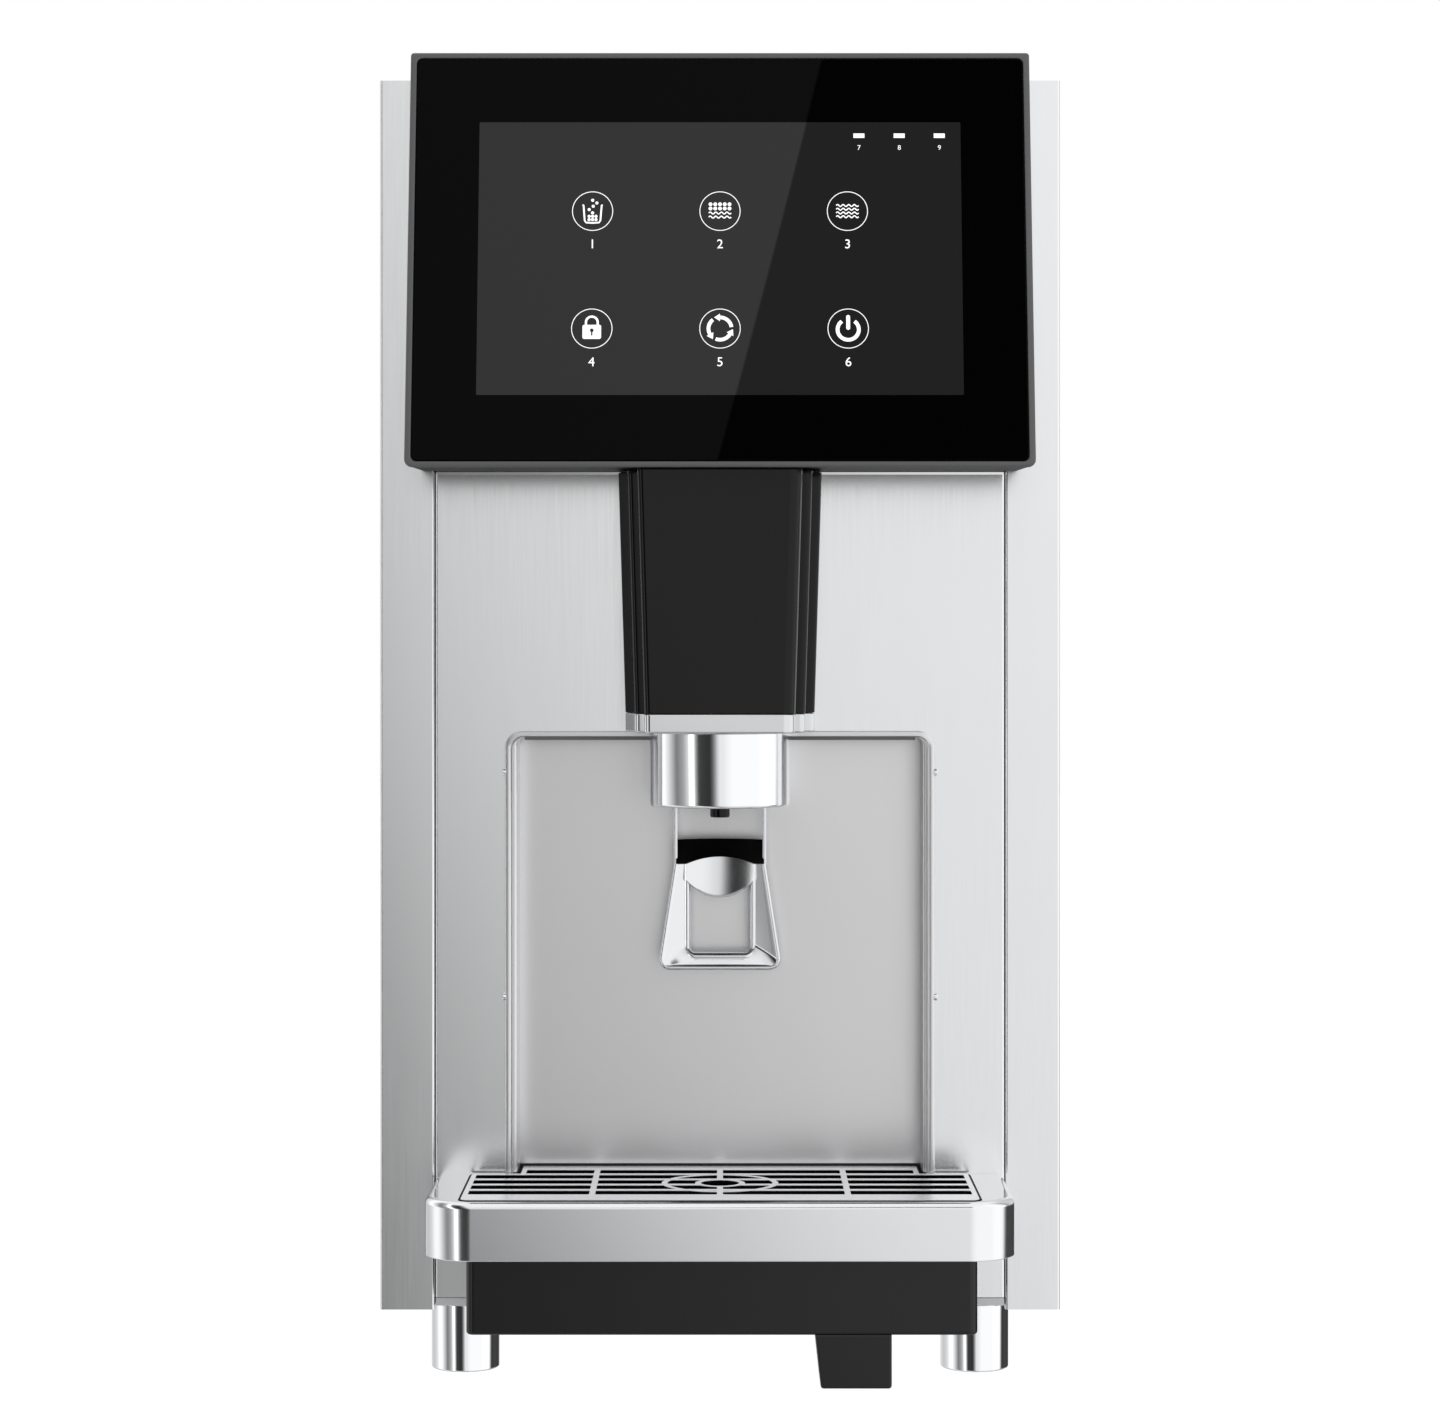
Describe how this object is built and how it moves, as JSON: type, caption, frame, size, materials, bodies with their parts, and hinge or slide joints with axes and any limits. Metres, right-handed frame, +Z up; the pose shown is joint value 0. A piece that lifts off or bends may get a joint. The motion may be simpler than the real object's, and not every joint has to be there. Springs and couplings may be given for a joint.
{
  "type": "countertop ice dispenser",
  "caption": "Steel cabinet on round feet with a tilted touch panel, an ice and water spout with a push lever, and a drip tray.",
  "frame": {"origin": "centre of the machine's bounding box at the floor under the feet", "axes": "+Z up, -Y towards the user at the front, +X to the user's right"},
  "size_m": [0.35, 0.563, 0.6724],
  "materials": {
    "brushed_steel": "fine brushed stainless steel",
    "satin_steel": "satin stainless steel",
    "chrome": "polished chrome",
    "dark_bezel": "dark grey satin plastic",
    "black_glass": "black touch glass",
    "display": "dark display panel",
    "circuit_board": "green circuit board",
    "black_plastic": "black moulded plastic",
    "white_plastic": "white moulded plastic",
    "food_plastic": "pale food-grade plastic",
    "foam": "dark insulating foam",
    "copper": "copper",
    "aluminium": "mill-finish aluminium",
    "black_enamel": "black enamel",
    "galvanised": "zinc-coated sheet"
  },
  "bodies": {
    "cabinet": {"base_pan": "galvanised", "left_side_panel": "brushed_steel", "right_side_panel": "brushed_steel", "front_panel": "brushed_steel", "head_backplate": "satin_steel", "rear_panel": "satin_steel", "equipment_shelf": "galvanised", "splash_niche": "satin_steel", "foot_front_left": "chrome", "foot_front_right": "chrome", "foot_rear_left": "chrome", "foot_rear_right": "chrome", "head_bezel": "dark_bezel", "touch_glass": "black_glass", "display_panel": "display", "display_board": "circuit_board", "head_housing": "dark_bezel", "chute_cover": "black_plastic", "chrome_band": "chrome", "spout_collar": "chrome", "ice_chute": "white_plastic", "gate_actuator": "black_enamel", "water_nozzle": "black_plastic", "lever_pin": "satin_steel", "lever_bracket": "galvanised", "lever_return_spring": "satin_steel", "lever_microswitch": "black_plastic", "ice_bin": "white_plastic", "agitator_motor": "black_enamel", "auger_gear_motor": "black_enamel", "freezing_cylinder": "foam", "extruder_head": "satin_steel", "ice_duct": "white_plastic", "water_reservoir": "white_plastic", "control_box": "galvanised", "compressor": "black_enamel", "condenser": "aluminium", "fan_shroud": "galvanised", "fan_motor": "black_enamel", "filter_drier": "copper", "refrigerant_line": "copper", "water_inlet_fitting": "satin_steel", "water_inlet_valve": "white_plastic", "drain_fitting": "black_plastic", "power_inlet": "black_plastic"},
    "lever": {"dispense_lever": "chrome", "lever_pad": "black_plastic"},
    "drip_tray": {"tray_skirt": "chrome", "drip_pan": "black_plastic", "drain_spout": "black_plastic"},
    "grate": {"drip_grate": "satin_steel"},
    "gate": {"gate_flap": "food_plastic"},
    "agitator": {"bin_agitator": "food_plastic"},
    "auger": {"ice_auger": "satin_steel"},
    "condenser_fan": {"fan_blade": "black_plastic"},
    "cover": {"top_cover": "brushed_steel", "lid_insulation": "foam"}
  },
  "joints": [
    {"name": "lever_pivot", "type": "hinge", "parent": "cabinet", "child": "lever", "pos_m": [0, -0.1825, 0.3535], "axis": [1, 0, 0], "range_deg": [0, 6], "stiffness_Nm_per_rad": 0.6, "springref_deg": -2.86},
    {"name": "tray_slide", "type": "slide", "parent": "cabinet", "child": "drip_tray", "axis": [0, -1, 0], "range_m": [0, 0.14]},
    {"name": "grate_lift", "type": "slide", "parent": "drip_tray", "child": "grate", "axis": [0, 0, 1], "range_m": [0, 0.08]},
    {"name": "gate_hinge", "type": "hinge", "parent": "cabinet", "child": "gate", "pos_m": [0, -0.1615, 0.44734], "axis": [-1, 0, 0], "range_deg": [0, 45], "stiffness_Nm_per_rad": 0.05, "springref_deg": -5.73},
    {"name": "agitator_spin", "type": "hinge", "parent": "cabinet", "child": "agitator", "pos_m": [0, -0.0085, 0.48], "axis": [0, 0, 1], "continuous": true},
    {"name": "auger_spin", "type": "hinge", "parent": "cabinet", "child": "auger", "pos_m": [0, 0.1885, 0.4], "axis": [0, 0, 1], "continuous": true},
    {"name": "fan_spin", "type": "hinge", "parent": "cabinet", "child": "condenser_fan", "pos_m": [-0.1232, 0.0235, 0.121], "axis": [1, 0, 0], "continuous": true},
    {"name": "cover_lift", "type": "slide", "parent": "cabinet", "child": "cover", "axis": [0, 0, 1], "range_m": [0, 0.12]}
  ]
}
